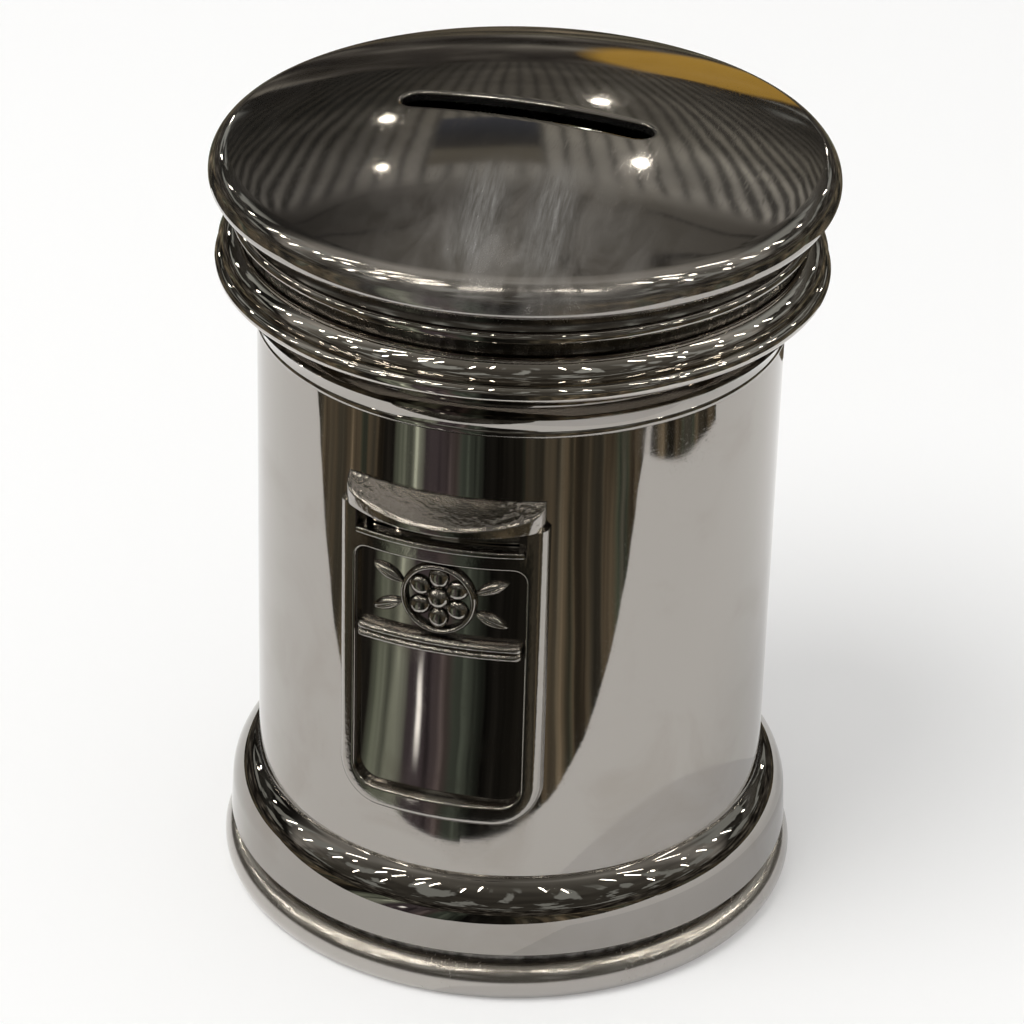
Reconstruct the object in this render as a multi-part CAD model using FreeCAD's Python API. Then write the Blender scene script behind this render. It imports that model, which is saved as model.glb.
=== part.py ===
import FreeCAD, Part
import math
import os
from FreeCAD import Vector

# A money box in the shape of a street letter box, in millimetres.
# Its axis is Z, its foot stands on z = 0, and its letter-box front faces -Y.

# Sheet metal and fits
sheet = 1.2
running_clearance = 0.08

# Body tube
body_radius = 33.0
gap_below_front = 8.4
gap_above_front = 8.6

# Foot ring, a round bead under a groove, as projections from the body
foot_projection = 4.55
foot_groove_projection = 2.2
foot_bore_projection = 0.4
foot_bead_round = 2.8
foot_belly_height = 2.3
foot_groove_height = 1.4
foot_seat_wall = 1.0

# Plinth, a plain band below, a round shoulder above and a falling ledge at the body
plinth_band_height = 4.4
plinth_slope_height = 5.5
plinth_projection = 3.75
plinth_band_draft = 0.25
plinth_shoulder_round = 6.5
plinth_shoulder_end = 52.0
plinth_foot_round = 0.5

# Bung in the base plate
bung_radius = 16.4
bung_taper = 0.6
bung_height = 8.0
bung_wall = 2.2
bung_flange_width = 2.8
bung_flange_thickness = 1.4
bung_floor_gap = 1.2
pull_web_thickness = 3.2

# Reeded band
band_thickness = 0.35
plain_strip_height = 1.0
reed_count = 3
reed_height = 2.0
reed_depth = 0.85
reed_hollow = 0.06

# Collar
collar_projection = 5.2
collar_bead_round = 1.1
collar_shoulder_projection = 4.9
collar_shoulder_round = 2.95
collar_shoulder_lift = 0.2
collar_shoulder_angle = 17.5

# Neck ring
neck_plain_projection = 1.9
neck_plain_height = 1.35
neck_bead_projection = 3.2
neck_bead_height = 1.6
neck_head_projection = 2.9
neck_cove_height = 2.6
neck_cove_depth = 0.6

# Cap
cap_projection = 5.9
rim_upper_bend = 2.1
rim_lower_bend = 0.7
dome_crown = 4.6
slot_length = 32.0
slot_width = 4.6
spigot_depth = 6.0

# Surround of the letter-box front
front_width = 26.0
stile_width = 2.2
bottom_rail_height = 2.9
top_rail_height = 1.9
frame_relief = 1.9
frame_corner_round = 5.6
frame_edge_round = 1.2
window_edge_round = 0.4
window_low_round = 2.6
window_high_round = 1.6

# Plate inside the surround, a little flatter than the body
plate_thickness = 0.5
plate_flattening = 9.0
door_height = 21.2

# Cross bar and sill
bar_height = 2.2
bar_relief = 1.4
bar_bead_depth = 0.45
bar_end_gap = 0.2
sill_height = 0.8
sill_overhang = 0.3

# Posting aperture and hood
aperture_height = 2.8
aperture_side = 1.1
hood_lip = 0.9
hood_rise = 2.4
hood_reach = 4.4
hood_end_inset = 0.6
hood_wall = 0.8

# Rosette ornament between the bar and the top rail
emblem_field_height = 10.5
emblem_margin = 0.4
emblem_relief = 0.9
ring_width = 0.8
petal_count = 6
boss_rise = 0.4
leaf_length = 4.6
leaf_width = 1.7
leaf_root_angle = 16.0
leaf_lean = 24.0
joint_overlap = 0.2

# Levels, from the floor up
floor_recess = bung_flange_thickness + bung_floor_gap
floor_top = floor_recess + sheet
foot_height = foot_belly_height + foot_bead_round + foot_groove_height
plinth_shoulder = foot_height + plinth_band_height
plinth_top = plinth_shoulder + plinth_slope_height
front_bottom = plinth_top + gap_below_front
door_bottom = front_bottom + bottom_rail_height
bar_bottom = door_bottom + door_height
emblem_bottom = bar_bottom + bar_height
window_top = emblem_bottom + emblem_field_height
sill_bottom = window_top + top_rail_height
aperture_bottom = sill_bottom + sill_height
hood_bottom = aperture_bottom + aperture_height
roof_bottom = hood_bottom + hood_lip
front_top = roof_bottom + hood_rise
band_bottom = front_top + gap_above_front
reeds_bottom = band_bottom + plain_strip_height
collar_bottom = reeds_bottom + reed_count * reed_height
collar_belly = collar_bottom + collar_bead_round
collar_shoulder = collar_belly + collar_bead_round + collar_shoulder_lift
neck_bottom = collar_shoulder + collar_shoulder_round
neck_bead_bottom = neck_bottom + neck_plain_height
cove_bottom = neck_bead_bottom + neck_bead_height
cap_seat = cove_bottom + neck_cove_height

# Radii and widths
body_bore = body_radius - sheet
foot_radius = body_radius + foot_projection
foot_groove_radius = body_radius + foot_groove_projection
foot_bore = body_radius + foot_bore_projection
foot_seat_radius = foot_groove_radius - foot_seat_wall
base_hole_radius = bung_radius + running_clearance
spigot_radius = body_bore - running_clearance
spigot_bore = spigot_radius - sheet
frame_radius = body_radius + frame_relief
hood_radius = body_radius + hood_reach
plate_front = body_radius + plate_thickness
plate_curve = plate_front + plate_flattening
window_half = front_width / 2 - stile_width
aperture_half = window_half - aperture_side
front_reach = hood_radius + sheet

origin = Vector(0, 0, 0)
upward = Vector(0, 0, 1)
forward = Vector(0, -1, 0)
half_root = math.sqrt(0.5)


def at(radius, height):
    """A point of a turned section, in the XZ plane."""
    return Vector(radius, 0, height)


def bend(start, middle, end):
    return Part.Arc(start, middle, end).toShape()


def path(points):
    """Straight edges from each point to the next."""
    return [Part.makeLine(start, end) for start, end in zip(points, points[1:])]


def eased_path(points, rounds):
    """Straight edges from point to point, with an arc of its own radius at each corner between them."""
    edges = []
    start = points[0]
    for before, corner, after, radius in zip(points, points[1:], points[2:], rounds):
        back = (before - corner).normalize()
        ahead = (after - corner).normalize()
        half_angle = back.getAngle(ahead) / 2
        reach = radius / math.tan(half_angle)
        depth = radius / math.sin(half_angle) - radius
        entry = corner + back * reach
        leave = corner + ahead * reach
        edges.append(Part.makeLine(start, entry))
        edges.append(bend(entry, corner + (back + ahead).normalize() * depth, leave))
        start = leave
    edges.append(Part.makeLine(start, points[-1]))
    return edges


def quarter(start, corner, end):
    """A quarter ellipse in form, from start to end, that fills out towards the corner."""
    centre = start + end - corner
    return bend(start, centre + (corner - centre) * half_root, end)


def arc_about(centre, radius, first_angle, last_angle):
    """A circular arc of a turned section, by its centre and two angles in degrees."""
    points = []
    for angle in (first_angle, (first_angle + last_angle) / 2, last_angle):
        turn = math.radians(angle)
        points.append(centre + at(radius * math.cos(turn), radius * math.sin(turn)))
    return bend(*points)


def first_point(edge):
    return edge.valueAt(edge.FirstParameter)


def last_point(edge):
    return edge.valueAt(edge.LastParameter)


def turned(edges):
    """Revolve a closed section about the axis of the box."""
    return Part.Face(Part.Wire(edges)).revolve(origin, upward, 360)


def turned_polygon(points):
    return turned(path(points + points[:1]))


def sleeve(inner, outer, bottom, top):
    return turned_polygon([at(inner, bottom), at(outer, bottom), at(outer, top), at(inner, top)])


def make_foot_ring():
    """A round bead cut off at the floor, a groove over it, and a rebate for the base plate."""
    bead_centre = at(foot_radius - foot_bead_round, foot_belly_height)
    floor_angle = -math.degrees(math.asin(foot_belly_height / foot_bead_round))
    groove_angle = math.degrees(math.acos((foot_groove_radius - bead_centre.x) / foot_bead_round))
    bead = arc_about(bead_centre, foot_bead_round, floor_angle, groove_angle)
    inside = [
        last_point(bead),
        at(foot_groove_radius, foot_height),
        at(foot_seat_radius, foot_height),
        at(foot_seat_radius, floor_recess),
        at(foot_bore, floor_recess),
        at(foot_bore, 0),
        first_point(bead),
    ]
    return turned([bead] + path(inside))


def make_base_plate():
    return sleeve(base_hole_radius, foot_seat_radius, floor_recess, floor_top)


def make_bung():
    """A cupped stopper with a flange under the base plate and a web to pull it by."""
    flange_radius = bung_radius + bung_flange_width
    tip_radius = bung_radius - bung_taper
    cup_radius = tip_radius - bung_wall
    top = floor_recess + bung_height
    cup_top = top - bung_wall
    plug = turned_polygon(
        [
            at(0, cup_top),
            at(cup_radius, cup_top),
            at(cup_radius, bung_floor_gap),
            at(flange_radius, bung_floor_gap),
            at(flange_radius, floor_recess),
            at(bung_radius, floor_recess),
            at(bung_radius, floor_top),
            at(tip_radius, top),
            at(0, top),
        ]
    )
    web_half = cup_radius + bung_wall / 2
    web_corner = Vector(-web_half, -pull_web_thickness / 2, bung_floor_gap)
    web_height = cup_top + bung_wall / 2 - bung_floor_gap
    web = Part.makeBox(2 * web_half, pull_web_thickness, web_height, web_corner)
    return plug.fuse(web).removeSplitter()


def make_plinth():
    """A flared skirt that stands on the foot ring and closes on the body with a ledge."""
    bottom_radius = body_radius + plinth_projection
    seat = at(foot_seat_radius, foot_height)
    corner = at(bottom_radius, foot_height)
    shoulder = at(bottom_radius - plinth_band_draft, plinth_shoulder)
    band = eased_path([seat, corner, shoulder], [plinth_foot_round])
    lean = math.atan2(plinth_band_draft, plinth_band_height)
    slope_centre = shoulder - at(math.cos(lean), math.sin(lean)) * plinth_shoulder_round
    slope = arc_about(slope_centre, plinth_shoulder_round, math.degrees(lean), plinth_shoulder_end)
    inside = [
        last_point(slope),
        at(body_radius, plinth_top),
        at(body_radius, plinth_top - sheet),
        seat,
    ]
    return turned(band + [slope] + path(inside))


def make_body_tube():
    return sleeve(body_bore, body_radius, floor_top, cap_seat)


def make_reeded_band():
    """A plain strip with a stack of flutes over it, each leaning out to a sharp upper edge."""
    outer = body_radius + band_thickness
    inside = [
        at(outer, collar_bottom),
        at(body_radius, collar_bottom),
        at(body_radius, band_bottom),
        at(outer, band_bottom),
        at(outer, reeds_bottom),
    ]
    edges = path(inside)
    for number in range(reed_count):
        low = reeds_bottom + number * reed_height
        high = low + reed_height
        tip = at(outer + reed_depth, high)
        hollow = at(outer + reed_depth / 2 - reed_hollow, low + reed_height / 2)
        edges.append(bend(at(outer, low), hollow, tip))
        edges.append(Part.makeLine(tip, at(outer, high)))
    return turned(edges)


def make_collar():
    """A hollow moulding: a bead below, a sharp groove, and a full shoulder above."""
    bead_centre = at(body_radius + collar_projection - collar_bead_round, collar_belly)
    bead = arc_about(bead_centre, collar_bead_round, -90, 90)
    shoulder_reach = collar_shoulder_projection - collar_shoulder_round
    shoulder_centre = at(body_radius + shoulder_reach, collar_shoulder)
    shoulder = arc_about(shoulder_centre, collar_shoulder_round, collar_shoulder_angle, 90)
    groove = path([last_point(bead), first_point(shoulder)])
    hollow_radius = bead_centre.x - sheet
    inside = [
        last_point(shoulder),
        at(body_radius, neck_bottom),
        at(body_radius, neck_bottom - sheet),
        at(shoulder_centre.x, neck_bottom - sheet),
        at(hollow_radius, collar_shoulder),
        at(hollow_radius, collar_bottom + sheet),
        at(body_radius, collar_bottom + sheet),
        at(body_radius, collar_bottom),
        first_point(bead),
    ]
    return turned([bead] + groove + [shoulder] + path(inside))


def make_neck_ring():
    """A plain neck on the collar, a half-round bead, and a cove that runs up under the cap."""
    bead_round = neck_bead_height / 2
    bead_reach = neck_bead_projection - bead_round
    bead = arc_about(at(body_radius + bead_reach, neck_bead_bottom + bead_round), bead_round, -90, 90)
    head = at(body_radius + neck_head_projection, cap_seat)
    waist = (last_point(bead) + head) * 0.5 - at(neck_cove_depth, 0)
    cove = bend(last_point(bead), waist, head)
    plain_radius = body_radius + neck_plain_projection
    inside = [
        head,
        at(body_radius, cap_seat),
        at(body_radius, neck_bottom),
        at(plain_radius, neck_bottom),
        at(plain_radius, neck_bead_bottom),
        first_point(bead),
    ]
    return turned([bead, cove] + path(inside))


def dome_arc(radius, centre_height, end_angle):
    """The dome from the axis to where it runs into the rolled rim."""
    points = []
    for angle in (0, end_angle / 2, end_angle):
        turn = math.radians(angle)
        points.append(at(radius * math.sin(turn), centre_height + radius * math.cos(turn)))
    return bend(*points)


def make_cap():
    """A spun dome whose rim rolls over and under to a flat lip on the neck ring."""
    cap_radius = body_radius + cap_projection
    upper_round = rim_upper_bend + sheet
    lower_round = rim_lower_bend + sheet
    rim_height = cap_seat + lower_round
    apex = rim_height + upper_round + dome_crown
    upper_centre = at(cap_radius - upper_round, rim_height)
    lower_centre = at(cap_radius - lower_round, rim_height)
    rise = apex - rim_height
    dome_radius = (upper_centre.x ** 2 + rise ** 2 - upper_round ** 2) / (2 * dome_crown)
    dome_centre = apex - dome_radius
    rim_angle = math.degrees(math.asin(upper_centre.x / (dome_radius - upper_round)))
    outside = dome_arc(dome_radius, dome_centre, rim_angle)
    over = arc_about(upper_centre, upper_round, 90 - rim_angle, 0)
    under = arc_about(lower_centre, lower_round, 0, -90)
    inside = dome_arc(dome_radius - sheet, dome_centre, rim_angle)
    inner_over = arc_about(upper_centre, rim_upper_bend, 90 - rim_angle, 0)
    inner_under = arc_about(lower_centre, rim_lower_bend, 0, -90)
    lip = [
        last_point(under),
        at(spigot_bore, cap_seat),
        at(spigot_bore, cap_seat + sheet),
        last_point(inner_under),
    ]
    middle = path([first_point(outside), first_point(inside)])
    edges = [outside, over, under, inside, inner_over, inner_under] + path(lip) + middle
    shell = turned(Part.__sortEdges__(edges))
    return shell.cut(make_slot_cutter(cap_seat + sheet, apex))


def make_slot_cutter(bottom, top):
    """The coin slot, with round ends."""
    half = (slot_length - slot_width) / 2
    corner = Vector(-half, -slot_width / 2, bottom)
    cutter = Part.makeBox(2 * half, slot_width, top - bottom, corner)
    for side in (-1, 1):
        end = Part.makeCylinder(slot_width / 2, top - bottom, Vector(side * half, 0, bottom))
        cutter = cutter.fuse(end)
    return cutter


def make_cap_spigot():
    return sleeve(spigot_bore, spigot_radius, cap_seat - spigot_depth, cap_seat)


def front_block(half_width, bottom, top):
    """A block from the axis out through the front."""
    corner = Vector(-half_width, -front_reach, bottom)
    return Part.makeBox(2 * half_width, front_reach, top - bottom, corner)


def body_core(radius):
    return Part.makeCylinder(radius, cap_seat)


def plate_core(relief):
    """The flatter cylinder of the plate's front, grown by a relief."""
    return Part.makeCylinder(plate_curve + relief, cap_seat, Vector(0, plate_flattening, 0))


def rounded_outline(half_width, bottom, top, low_round, high_round):
    """An upright rectangle in the XZ plane with its own rounding below and above."""
    corners = [at(-half_width, bottom), at(half_width, bottom), at(half_width, top), at(-half_width, top)]
    rounds = [low_round, low_round, high_round, high_round]
    edges = []
    for number in range(4):
        corner = corners[number]
        before = (corners[number - 1] - corner).normalize() * rounds[number]
        after = (corners[(number + 1) % 4] - corner).normalize() * rounds[number]
        edges.append(quarter(corner + before, corner, corner + after))
    starts = [last_point(edge) for edge in edges]
    stops = [first_point(edge) for edge in edges[1:] + edges[:1]]
    sides = [Part.makeLine(start, stop) for start, stop in zip(starts, stops)]
    return Part.Face(Part.Wire(Part.__sortEdges__(edges + sides)))


def through_front(face):
    return face.extrude(forward * front_reach)


def make_panel_frame():
    """The cast surround, with one window and the mouth of the posting aperture."""
    corner_round = frame_corner_round
    outline = rounded_outline(front_width / 2, front_bottom, band_bottom, corner_round, corner_round)
    wall = body_core(frame_radius).cut(body_core(body_radius)).common(through_front(outline))
    block = wall.makeFillet(frame_edge_round, [edge for edge in wall.Edges if on_frame_face(edge)])
    frame = block.common(front_block(front_width / 2, front_bottom, hood_bottom))
    window = rounded_outline(window_half, door_bottom, window_top, window_low_round, window_high_round)
    mouth = front_block(window_half, sill_bottom, hood_bottom)
    frame = frame.cut(through_front(window)).cut(mouth).cut(plate_blank())
    rim = [edge for edge in frame.Edges if on_frame_face(edge) and around_window(edge)]
    return frame.makeFillet(window_edge_round, rim)


def on_frame_face(edge):
    reach = min(math.hypot(vertex.X, vertex.Y) for vertex in edge.Vertexes)
    return reach > frame_radius - window_edge_round / 2


def around_window(edge):
    """Whether an edge lies within the window's opening and not on the surround's outer edge or its mouth."""
    inside = max(abs(vertex.X) for vertex in edge.Vertexes) < window_half + window_edge_round
    above = min(vertex.Z for vertex in edge.Vertexes) > door_bottom - window_edge_round
    below = max(vertex.Z for vertex in edge.Vertexes) < window_top + window_edge_round
    return inside and above and below


def plate_blank():
    """The plate before its aperture is cut, running up behind the top rail to the hood."""
    outline = rounded_outline(window_half, door_bottom, hood_bottom, window_low_round, window_edge_round)
    return plate_core(0).cut(body_core(body_radius)).common(through_front(outline))


def make_back_plate():
    return plate_blank().cut(front_block(aperture_half, aperture_bottom, hood_bottom))


def make_cross_bar():
    """A bar of two beads across the plate."""
    root = plate_curve + bar_relief - bar_bead_depth
    bead = bar_height / 2
    bottom = at(plate_curve, bar_bottom)
    top = at(plate_curve, emblem_bottom)
    edges = path([at(root, emblem_bottom), top, bottom, at(root, bar_bottom)])
    for number in range(2):
        low = bar_bottom + number * bead
        crest = at(plate_curve + bar_relief, low + bead / 2)
        edges.append(bend(at(root, low), crest, at(root, low + bead)))
    ring = turned(edges)
    ring.translate(Vector(0, plate_flattening, 0))
    return ring.common(front_block(window_half - bar_end_gap, bar_bottom, emblem_bottom))


def make_aperture_sill():
    """A thin ledge that stands a little proud of the surround."""
    ledge = body_core(frame_radius + sill_overhang).cut(plate_core(0))
    return ledge.common(front_block(window_half - bar_end_gap, sill_bottom, aperture_bottom))


def hood_form(inset):
    """The crescent of the hood under its sloping roof, shrunk by an inset for its hollow."""
    half = front_width / 2 - hood_end_inset
    sagitta = hood_radius - math.sqrt(frame_radius ** 2 - half ** 2)
    plan_radius = (half ** 2 + sagitta ** 2) / (2 * sagitta)
    plan_centre = Vector(0, plan_radius - hood_radius, hood_bottom)
    crescent = Part.makeCylinder(plan_radius - inset, front_top - hood_bottom, plan_centre)
    roof = turned_polygon(
        [
            at(0, hood_bottom),
            at(hood_radius, hood_bottom),
            at(hood_radius, roof_bottom - inset),
            at(body_radius, front_top - inset),
            at(0, front_top - inset),
        ]
    )
    room = front_block(half - inset, hood_bottom, front_top)
    return crescent.common(roof).common(room).cut(body_core(body_radius))


def make_hood():
    return hood_form(0).cut(hood_form(hood_wall))


def disc(radius, spot):
    return Part.Face(Part.Wire(Part.makeCircle(radius, spot, forward)))


def leaf(root, angle):
    """A pointed leaf of two arcs that grows from its root at an angle."""
    tip = at(leaf_length, 0)
    swell = at(leaf_length / 2, leaf_width / 2)
    dip = at(leaf_length / 2, -leaf_width / 2)
    face = Part.Face(Part.Wire([bend(origin, swell, tip), bend(tip, dip, origin)]))
    face.rotate(origin, forward, angle)
    face.translate(root)
    return face


def make_emblem():
    """A rosette in a ring with a pair of leaves at each side, raised from the plate."""
    ring_radius = emblem_field_height / 2 - emblem_margin
    ring_bore = ring_radius - ring_width
    spread = math.sin(math.pi / petal_count)
    petal_reach = ring_bore + joint_overlap
    petal_radius = (petal_reach * spread + joint_overlap / 2) / (1 + spread)
    petal_orbit = petal_reach - petal_radius
    boss_radius = petal_orbit - petal_radius + joint_overlap
    middle = at(0, emblem_bottom + emblem_field_height / 2)
    faces = [disc(ring_radius, middle).cut(disc(ring_bore, middle)).Faces[0]]
    for number in range(petal_count):
        turn = 2 * math.pi * number / petal_count
        spot = middle + at(petal_orbit * math.sin(turn), petal_orbit * math.cos(turn))
        faces.append(disc(petal_radius, spot))
    root_reach = ring_radius - joint_overlap
    for heading in (0, 180):
        for lift in (-1, 1):
            turn = math.radians(heading + lift * leaf_root_angle)
            root = middle + at(root_reach * math.cos(turn), root_reach * math.sin(turn))
            faces.append(leaf(root, heading + lift * leaf_lean))
    relief = plate_core(emblem_relief).cut(plate_core(0))
    pieces = [relief.common(through_front(face)) for face in faces]
    boss_relief = plate_core(emblem_relief + boss_rise).cut(plate_core(0))
    pieces.append(boss_relief.common(through_front(disc(boss_radius, middle))))
    return pieces[0].multiFuse(pieces[1:]).removeSplitter()


makers = {
    "foot_ring": make_foot_ring,
    "base_plate": make_base_plate,
    "bung": make_bung,
    "plinth": make_plinth,
    "body_tube": make_body_tube,
    "reeded_band": make_reeded_band,
    "collar": make_collar,
    "neck_ring": make_neck_ring,
    "cap": make_cap,
    "cap_spigot": make_cap_spigot,
    "panel_frame": make_panel_frame,
    "back_plate": make_back_plate,
    "cross_bar": make_cross_bar,
    "aperture_sill": make_aperture_sill,
    "hood": make_hood,
    "emblem": make_emblem,
}


def main():
    os.makedirs("parts", exist_ok=True)
    for name, maker in makers.items():
        shape = maker()
        shape.exportStep(os.path.join("parts", name + ".step"))
        print(name, len(shape.Solids), "solid", round(shape.Volume, 1), "mm3", shape.isValid())


main()
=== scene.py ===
import bpy
import bmesh
import math
from mathutils import Matrix, Vector, noise


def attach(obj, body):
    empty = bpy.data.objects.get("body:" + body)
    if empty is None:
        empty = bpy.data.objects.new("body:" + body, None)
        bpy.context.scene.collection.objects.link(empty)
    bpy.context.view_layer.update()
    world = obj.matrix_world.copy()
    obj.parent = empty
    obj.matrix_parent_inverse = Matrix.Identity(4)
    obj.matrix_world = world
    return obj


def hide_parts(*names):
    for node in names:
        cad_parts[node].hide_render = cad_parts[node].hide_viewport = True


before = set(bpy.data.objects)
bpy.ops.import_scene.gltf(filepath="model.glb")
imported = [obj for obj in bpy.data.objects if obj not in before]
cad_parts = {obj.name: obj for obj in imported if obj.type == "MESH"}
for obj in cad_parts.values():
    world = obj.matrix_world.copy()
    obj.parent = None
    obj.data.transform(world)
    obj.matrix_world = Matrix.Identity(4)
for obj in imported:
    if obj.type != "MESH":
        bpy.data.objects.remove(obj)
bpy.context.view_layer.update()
mm = 0.001
print("frame loaded with", len(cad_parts), "nodes")


# outline helpers: points are (radius, height) or (across, height) in millimetres

def arcPoints(centre, radius, fromAngle, toAngle, count):
    points = []
    for step in range(count + 1):
        turn = math.radians(fromAngle + (toAngle - fromAngle) * step / count)
        points.append((centre[0] + radius * math.cos(turn), centre[1] + radius * math.sin(turn)))
    return points


def quarterSteps(count, first=0):  # sine and cosine along a quarter turn
    turns = [math.pi / 2 * step / count for step in range(first, count + 1)]
    return [(math.sin(turn), math.cos(turn)) for turn in turns]


def easedPoints(corners, rounds, count):  # straight runs with an arc at each corner between the ends
    points = [corners[0]]
    for before, corner, after, radius in zip(corners, corners[1:], corners[2:], rounds):
        place = Vector(corner)
        back = (Vector(before) - place).normalized()
        ahead = (Vector(after) - place).normalized()
        half = back.angle(ahead) / 2
        entry = place + back * (radius / math.tan(half))
        leave = place + ahead * (radius / math.tan(half))
        centre = place + (back + ahead).normalized() * (radius / math.sin(half))
        for step in range(count + 1):
            spoke = (entry - centre).normalized().slerp((leave - centre).normalized(), step / count)
            points.append(tuple(centre + spoke * radius))
    return points + [corners[-1]]


def bulgePoints(start, end, bulge, count):  # an arc off its chord, outwards when the bulge is positive
    start, end = Vector(start), Vector(end)
    chord = end - start
    side = Vector((chord.y, -chord.x)).normalized()
    radius = (chord.length_squared / 4 + bulge * bulge) / (2 * bulge)
    centre = (start + end) / 2 + side * (bulge - radius)
    first, last = (start - centre).normalized(), (end - centre).normalized()
    return [tuple(centre + first.slerp(last, step / count) * abs(radius)) for step in range(count + 1)]


def bodyFront(radius, across):  # how far forward a round of this radius lies at a place across the front
    return -math.sqrt(radius * radius - across * across)


# modelling helpers

def deselectAll():
    if bpy.context.object and bpy.context.object.mode != "OBJECT":
        bpy.ops.object.mode_set(mode="OBJECT")
    bpy.ops.object.select_all(action="DESELECT")


def editAll():
    bpy.ops.object.mode_set(mode="EDIT")
    bpy.ops.mesh.select_all(action="SELECT")


def leaveEdit():
    bpy.ops.object.mode_set(mode="OBJECT")


def smoothTo(angle):
    bpy.ops.object.shade_smooth_by_angle(angle=math.radians(angle))


def namePiece(name):
    piece = bpy.context.object
    piece.name = name
    piece.data.name = name
    return piece


def closeAndSmooth(piece, smoothAngle):
    bpy.ops.mesh.select_all(action="SELECT")
    bpy.ops.mesh.remove_doubles(threshold=0.000001)
    bpy.ops.mesh.normals_make_consistent(inside=False)
    leaveEdit()
    smoothTo(smoothAngle)
    return piece


def turnedPiece(name, outline, steps=288, smoothAngle=35):  # one point drawn along the outline, then spun
    deselectAll()
    bpy.ops.mesh.primitive_plane_add(size=mm)
    piece = namePiece(name)
    editAll()
    bpy.ops.mesh.merge(type="CENTER")
    bpy.ops.transform.translate(value=(outline[0][0] * mm, 0, outline[0][1] * mm))
    for before, after in zip(outline, outline[1:] + outline[:1]):
        move = ((after[0] - before[0]) * mm, 0, (after[1] - before[1]) * mm)
        bpy.ops.mesh.extrude_vertices_move(TRANSFORM_OT_translate={"value": move})
    bpy.ops.mesh.select_all(action="SELECT")
    bpy.ops.mesh.spin(steps=steps, angle=math.tau, center=(0, 0, 0), axis=(0, 0, 1))
    return closeAndSmooth(piece, smoothAngle)


def placeRing(piece, order, ring):
    mesh = bmesh.from_edit_mesh(piece.data)
    mesh.verts.ensure_lookup_table()
    for number, point in zip(order, ring):
        mesh.verts[number].co = Vector(point) * mm
    bmesh.update_edit_mesh(piece.data)


def extrudeRing(piece, order):  # the numbers of the new points, in the order of the old ones
    bpy.ops.mesh.extrude_edges_move()
    mesh = bmesh.from_edit_mesh(piece.data)
    mesh.verts.ensure_lookup_table()
    grown = []
    for old in (mesh.verts[number] for number in order):
        ends = [edge.other_vert(old) for edge in old.link_edges]
        grown.append(next(end.index for end in ends if end.select))
    return grown


def ringPiece(name, rings, closed=True, smoothAngle=35):  # a loop of points extruded from ring to ring
    deselectAll()
    bpy.ops.mesh.primitive_circle_add(vertices=len(rings[0]), radius=10 * mm)
    piece = namePiece(name)
    bpy.ops.object.mode_set(mode="EDIT")
    bpy.ops.mesh.select_mode(type="EDGE")
    bpy.ops.mesh.select_all(action="SELECT")
    order = list(range(len(rings[0])))
    placeRing(piece, order, rings[0])
    if not closed:
        bpy.ops.mesh.edge_face_add()
    for ring in rings[1:] + (rings[:1] if closed else []):
        order = extrudeRing(piece, order)
        placeRing(piece, order, ring)
    if not closed:
        bpy.ops.mesh.edge_face_add()
    bpy.ops.mesh.select_mode(type="VERT")
    return closeAndSmooth(piece, smoothAngle)


def boxPiece(name, size, middle):
    deselectAll()
    bpy.ops.mesh.primitive_cube_add(size=mm)
    piece = namePiece(name)
    editAll()
    bpy.ops.transform.resize(value=size)
    bpy.ops.transform.translate(value=Vector(middle) * mm)
    leaveEdit()
    return piece


def reshape(piece, placeOf):  # every point is moved by a rule, in millimetres
    bpy.ops.object.mode_set(mode="EDIT")
    mesh = bmesh.from_edit_mesh(piece.data)
    for spot in mesh.verts:
        spot.co = Vector(placeOf(*(spot.co / mm))) * mm
    bmesh.update_edit_mesh(piece.data)


def makeActive(piece):
    deselectAll()
    bpy.context.view_layer.objects.active = piece
    piece.select_set(True)


def applyModifier(piece, kind, **settings):
    makeActive(piece)
    modifier = piece.modifiers.new(kind.lower(), kind)
    for key, value in settings.items():
        setattr(modifier, key, value)
    bpy.ops.object.modifier_apply(modifier=modifier.name)


def joinPieces(pieces):
    makeActive(pieces[0])
    for piece in pieces:
        piece.select_set(True)
    bpy.ops.object.join()
    return pieces[0]


def finishPiece(piece, material, slotName, body, *nodes):
    piece.data.materials.clear()
    piece.data.materials.append(material)
    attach(piece, body)
    if nodes:
        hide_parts(*nodes)
    print("made", piece.name, "with", len(piece.data.polygons), "faces")


# camera: the photograph's station, with the box's axis a little left of the middle

shot = {"turn": 15.65, "rise": 29.522, "distance": 550.27, "roll": 1.5745, "lens": 150.74,
        "aim": (-0.46, -0.129, 50.2)}


def makeCamera():
    turn, rise, roll = (math.radians(shot[key]) for key in ("turn", "rise", "roll"))
    right = Vector((math.cos(turn), math.sin(turn), 0))
    ahead = Vector((-math.sin(turn) * math.cos(rise), math.cos(turn) * math.cos(rise), -math.sin(rise)))
    up = right.cross(ahead)
    side = right * math.cos(roll) + up * math.sin(roll)
    top = up * math.cos(roll) - right * math.sin(roll)
    deselectAll()
    bpy.ops.object.camera_add()
    camera = bpy.context.object
    camera.name = "photoCamera"
    camera.data.lens = shot["lens"]
    camera.data.clip_start = 0.01
    camera.data.clip_end = 50
    place = Vector(shot["aim"]) * mm - ahead * shot["distance"] * mm
    camera.matrix_world = Matrix.Translation(place) @ Matrix((side, top, -ahead)).transposed().to_4x4()
    bpy.context.scene.camera = camera


makeCamera()
bpy.context.scene.view_settings.view_transform = "Standard"
print("camera placed")


# node helpers

white = (1.0, 1.0, 1.0)


def addNode(tree, kind, values=None, **settings):
    made = tree.nodes.new("ShaderNode" + kind)
    made.location = (len(tree.nodes) * 190 - 900, 0)
    for key, value in settings.items():
        setattr(made, key, value)
    for key, value in (values or {}).items():
        made.inputs[key].default_value = value
    return made


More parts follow.
